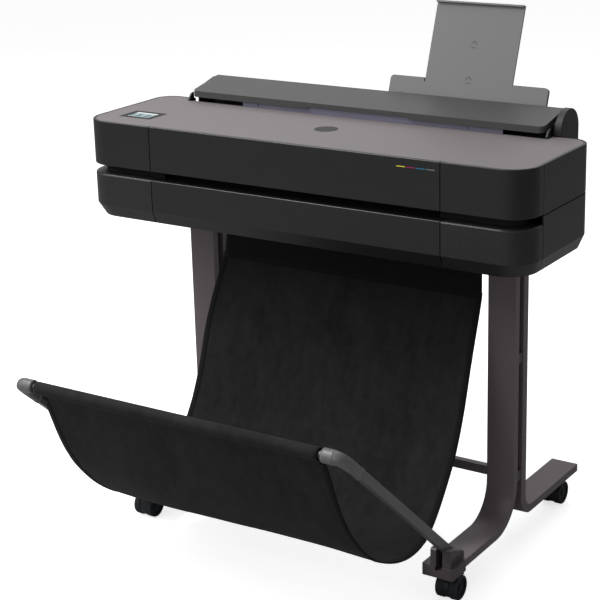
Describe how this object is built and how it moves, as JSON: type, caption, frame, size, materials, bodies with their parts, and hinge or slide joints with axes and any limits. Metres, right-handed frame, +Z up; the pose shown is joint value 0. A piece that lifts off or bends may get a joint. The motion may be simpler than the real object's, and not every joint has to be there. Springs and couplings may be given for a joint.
{
  "type": "large format plotter",
  "caption": "Wide-format inkjet plotter on a wheeled two-leg stand, with a roll cover, rear sheet tray, small touch screen and a fabric catch basket at the front.",
  "frame": {"origin": "middle of the object's bounding box, on the floor", "axes": "+Z up, +X to the right as seen from the front, -Y towards the front with the basket"},
  "size_m": [1.013, 0.922, 1.0742],
  "materials": {
    "shell": "satin",
    "shell_textured": "fine texture",
    "panel": "satin",
    "cover": "matte",
    "housing": "satin",
    "bezel": "gloss",
    "screen": "gloss",
    "steel": "brushed",
    "inner_plastic": "matte",
    "rubber": "matte",
    "gear": "satin",
    "motor": "satin",
    "ink": "gloss",
    "board": "satin",
    "guide": "satin",
    "spindle": "satin",
    "tray": "matte",
    "stand": "satin",
    "stand_dark": "matte",
    "screw": "satin",
    "caster": "satin",
    "tyre": "matte",
    "fabric": "matte",
    "rod": "satin",
    "arm": "satin"
  },
  "bodies": {
    "base": {"basket_back": "fabric", "basket_band": "fabric", "carriage_belt": "rubber", "carriage_rail": "steel", "caster_sockets": "stand_dark", "chassis_frame": "steel", "crossbar": "stand", "drive_motors": "motor", "feed_guide": "guide", "foot_clevises": "stand_dark", "front_legs": "stand", "hinge_cap": "housing", "ink_cartridges": "ink", "leg_brackets": "stand_dark", "lower_case": "shell", "lower_corner_left": "shell_textured", "lower_front_cover": "shell", "main_board": "board", "mains_inlet": "inner_plastic", "output_deck": "inner_plastic", "platen": "inner_plastic", "power_supply": "motor", "rear_housing": "housing", "rear_legs": "stand", "roll_trough": "inner_plastic", "screen_bezel": "bezel", "screen_glass": "screen", "service_station": "inner_plastic", "side_panels": "shell", "stand_screws": "screw", "top_panel": "panel", "tray_base": "tray", "upper_corner_left": "shell", "upper_corner_right": "shell"},
    "window": {"front_window": "shell"},
    "ink_door": {"ink_door": "shell_textured"},
    "roll_cover": {"roll_cover": "cover"},
    "tray_extension": {"tray_extension": "tray"},
    "roll": {"spindle": "spindle", "spindle_hubs": "inner_plastic"},
    "roller": {"drive_roller": "rubber"},
    "pinion": {"motor_pinion": "gear"},
    "pinch": {"pinch_rollers": "rubber"},
    "carriage": {"carriage": "inner_plastic"},
    "drive_pulley": {"drive_pulley": "gear"},
    "idler_pulley": {"idler_pulley": "gear"},
    "cutter": {"cutter": "inner_plastic"},
    "switch": {"power_switch": "inner_plastic"},
    "basket_frame": {"basket_front": "fabric", "basket_rod": "rod", "basket_elbows": "arm", "basket_arms": "arm"},
    "hood_front_left": {"caster_hood_front_left": "caster"},
    "wheels_front_left": {"caster_wheels_front_left": "tyre"},
    "hood_front_right": {"caster_hood_front_right": "caster"},
    "wheels_front_right": {"caster_wheels_front_right": "tyre"},
    "hood_rear_left": {"caster_hood_rear_left": "caster"},
    "wheels_rear_left": {"caster_wheels_rear_left": "tyre"},
    "hood_rear_right": {"caster_hood_rear_right": "caster"},
    "wheels_rear_right": {"caster_wheels_rear_right": "tyre"}
  },
  "joints": [
    {"name": "window_hinge", "type": "hinge", "parent": "base", "child": "window", "pos_m": [0, -0.047, 0.851], "axis": [-1, 0, 0], "range_deg": [0, 85]},
    {"name": "ink_door_hinge", "type": "hinge", "parent": "base", "child": "ink_door", "pos_m": [0.42, -0.03, 0.659], "axis": [1, 0, 0], "range_deg": [0, 60]},
    {"name": "roll_cover_hinge", "type": "hinge", "parent": "base", "child": "roll_cover", "pos_m": [0, 0.304, 0.8845], "axis": [-1, 0, 0], "range_deg": [0, 80]},
    {"name": "tray_extension_slide", "type": "slide", "parent": "base", "child": "tray_extension", "axis": [0, 0.342, 0.9397], "range_m": [-0.12, 0]},
    {"name": "spindle_turn", "type": "hinge", "parent": "base", "child": "roll", "pos_m": [0, 0.232, 0.806], "axis": [1, 0, 0], "continuous": true},
    {"name": "roller_turn", "type": "hinge", "parent": "base", "child": "roller", "pos_m": [0, 0.085, 0.75], "axis": [1, 0, 0], "continuous": true},
    {"name": "pinion_turn", "type": "hinge", "parent": "base", "child": "pinion", "pos_m": [-0.4, 0.121, 0.75], "axis": [1, 0, 0], "continuous": true},
    {"name": "pinch_turn", "type": "hinge", "parent": "base", "child": "pinch", "pos_m": [0, 0.085, 0.7656], "axis": [1, 0, 0], "continuous": true},
    {"name": "carriage_slide", "type": "slide", "parent": "base", "child": "carriage", "axis": [-1, 0, 0], "range_m": [0, 0.65]},
    {"name": "drive_pulley_turn", "type": "hinge", "parent": "base", "child": "drive_pulley", "pos_m": [-0.384, 0.112, 0.81], "axis": [0, 1, 0], "continuous": true},
    {"name": "idler_pulley_turn", "type": "hinge", "parent": "base", "child": "idler_pulley", "pos_m": [0.384, 0.112, 0.81], "axis": [0, 1, 0], "continuous": true},
    {"name": "cutter_slide", "type": "slide", "parent": "base", "child": "cutter", "axis": [-1, 0, 0], "range_m": [0, 0.68]},
    {"name": "power_switch_rock", "type": "hinge", "parent": "base", "child": "switch", "pos_m": [-0.415, 0.231, 0.689], "axis": [1, 0, 0], "range_deg": [0, 12]},
    {"name": "basket_hinge", "type": "hinge", "parent": "base", "child": "basket_frame", "pos_m": [0, -0.072, 0.0935], "axis": [-1, 0, 0], "range_deg": [0, 45]},
    {"name": "swivel_front_left", "type": "hinge", "parent": "base", "child": "hood_front_left", "pos_m": [-0.368, -0.054, 0.05], "axis": [0, 0, 1], "continuous": true},
    {"name": "roll_front_left", "type": "hinge", "parent": "hood_front_left", "child": "wheels_front_left", "pos_m": [-0.368, -0.074, 0.025], "axis": [1, 0, 0], "continuous": true},
    {"name": "swivel_front_right", "type": "hinge", "parent": "base", "child": "hood_front_right", "pos_m": [0.368, -0.054, 0.05], "axis": [0, 0, 1], "continuous": true},
    {"name": "roll_front_right", "type": "hinge", "parent": "hood_front_right", "child": "wheels_front_right", "pos_m": [0.368, -0.074, 0.025], "axis": [1, 0, 0], "continuous": true},
    {"name": "swivel_rear_left", "type": "hinge", "parent": "base", "child": "hood_rear_left", "pos_m": [-0.357, 0.438, 0.05], "axis": [0, 0, 1], "continuous": true},
    {"name": "roll_rear_left", "type": "hinge", "parent": "hood_rear_left", "child": "wheels_rear_left", "pos_m": [-0.357, 0.418, 0.025], "axis": [1, 0, 0], "continuous": true},
    {"name": "swivel_rear_right", "type": "hinge", "parent": "base", "child": "hood_rear_right", "pos_m": [0.357, 0.438, 0.05], "axis": [0, 0, 1], "continuous": true},
    {"name": "roll_rear_right", "type": "hinge", "parent": "hood_rear_right", "child": "wheels_rear_right", "pos_m": [0.357, 0.418, 0.025], "axis": [1, 0, 0], "continuous": true}
  ],
  "couplings": [
    {"joint": "pinion_turn", "follows": "roller_turn", "ratio": -3.5},
    {"joint": "pinch_turn", "follows": "roller_turn", "ratio": -1.5},
    {"joint": "drive_pulley_turn", "follows": "carriage_slide", "rad_per_m": 120.48},
    {"joint": "idler_pulley_turn", "follows": "carriage_slide", "rad_per_m": 120.48}
  ]
}
